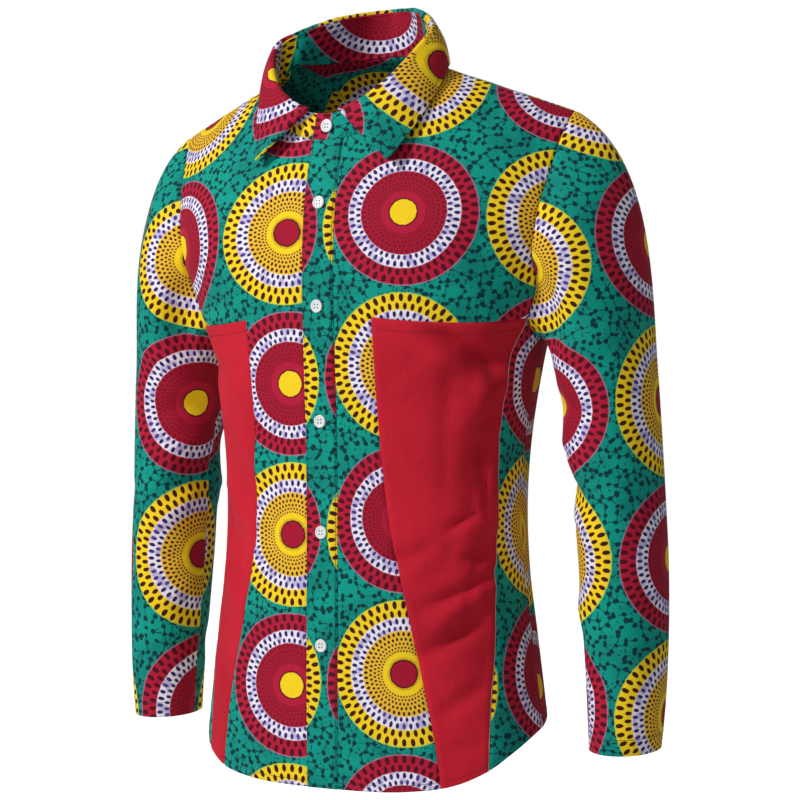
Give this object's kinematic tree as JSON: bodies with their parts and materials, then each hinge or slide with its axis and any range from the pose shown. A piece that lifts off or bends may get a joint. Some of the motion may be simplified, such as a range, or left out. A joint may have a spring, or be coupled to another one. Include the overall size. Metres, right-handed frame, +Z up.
{
  "type": "slim long-sleeved button-down kaftan shirt in wax print",
  "caption": "Hollow worn shirt in disc-printed cotton with a folded collar, set-in sleeves, a buttoned front and plain red side panels.",
  "frame": {"origin": "in the middle of the neck opening, level with the tops of the shoulder seams, where the wearer's shoulders carry the shirt", "axes": "+Z up towards the collar, +X to the wearer's left, -Y out of the buttoned front"},
  "size_m": [0.5934, 0.24, 0.7602],
  "materials": {
    "printed_cotton": "matt wax-printed cotton, teal ground with yellow and crimson discs",
    "plain_cotton": "matt plain cotton, crimson red",
    "button_shell": "white, softly glossy"
  },
  "bodies": {
    "root": {"front_left": "printed_cotton", "front_right": "printed_cotton", "back": "printed_cotton", "placket": "printed_cotton", "sleeve_left": "printed_cotton", "sleeve_right": "printed_cotton", "collar_stand": "printed_cotton", "collar_fall": "printed_cotton", "red_panel_left": "plain_cotton", "red_panel_right": "plain_cotton", "button_1": "button_shell", "button_2": "button_shell", "button_3": "button_shell", "button_4": "button_shell", "button_5": "button_shell", "button_6": "button_shell"}
  },
  "joints": []
}
